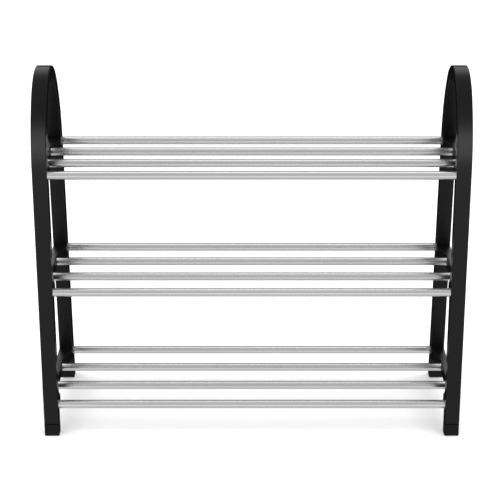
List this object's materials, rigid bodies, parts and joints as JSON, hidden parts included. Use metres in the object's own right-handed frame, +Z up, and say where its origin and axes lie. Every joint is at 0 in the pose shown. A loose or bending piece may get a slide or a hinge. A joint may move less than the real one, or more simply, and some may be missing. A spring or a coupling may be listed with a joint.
{
  "type": "tiered shoe rack",
  "caption": "Free-standing tiered shoe rack: arched black steel side frames joined by round satin aluminium tubes that form open, level shelves.",
  "frame": {"origin": "on the floor, below the middle of the rack, at the centre of its footprint", "axes": "+X along the shelf tubes, towards the right side frame; -Y towards the front; +Z up"},
  "size_m": [0.501, 0.1744, 0.4355],
  "materials": {
    "frame_paint": "satin black powder coat on bent rectangular steel tube",
    "tube_aluminium": "satin anodised tube",
    "bracket_plastic": "moulded black plastic, fine texture",
    "foot_plastic": "moulded black plastic, fine texture",
    "plug_plastic": "moulded plastic, hidden inside the tube ends",
    "screw_steel": "black-finished countersunk steel"
  },
  "bodies": {
    "root": {"bottom_front_inner_tube": "tube_aluminium", "bottom_front_tube": "tube_aluminium", "bottom_rear_inner_tube": "tube_aluminium", "bottom_rear_tube": "tube_aluminium", "left_bottom_bracket": "bracket_plastic", "left_front_foot": "foot_plastic", "left_middle_bracket": "bracket_plastic", "left_rear_foot": "foot_plastic", "left_screws": "screw_steel", "left_side_frame": "frame_paint", "left_top_bracket": "bracket_plastic", "left_tube_plugs": "plug_plastic", "middle_front_inner_tube": "tube_aluminium", "middle_front_tube": "tube_aluminium", "middle_rear_inner_tube": "tube_aluminium", "middle_rear_tube": "tube_aluminium", "right_bottom_bracket": "bracket_plastic", "right_front_foot": "foot_plastic", "right_middle_bracket": "bracket_plastic", "right_rear_foot": "foot_plastic", "right_screws": "screw_steel", "right_side_frame": "frame_paint", "right_top_bracket": "bracket_plastic", "right_tube_plugs": "plug_plastic", "top_front_inner_tube": "tube_aluminium", "top_front_tube": "tube_aluminium", "top_rear_inner_tube": "tube_aluminium", "top_rear_tube": "tube_aluminium"}
  },
  "joints": []
}
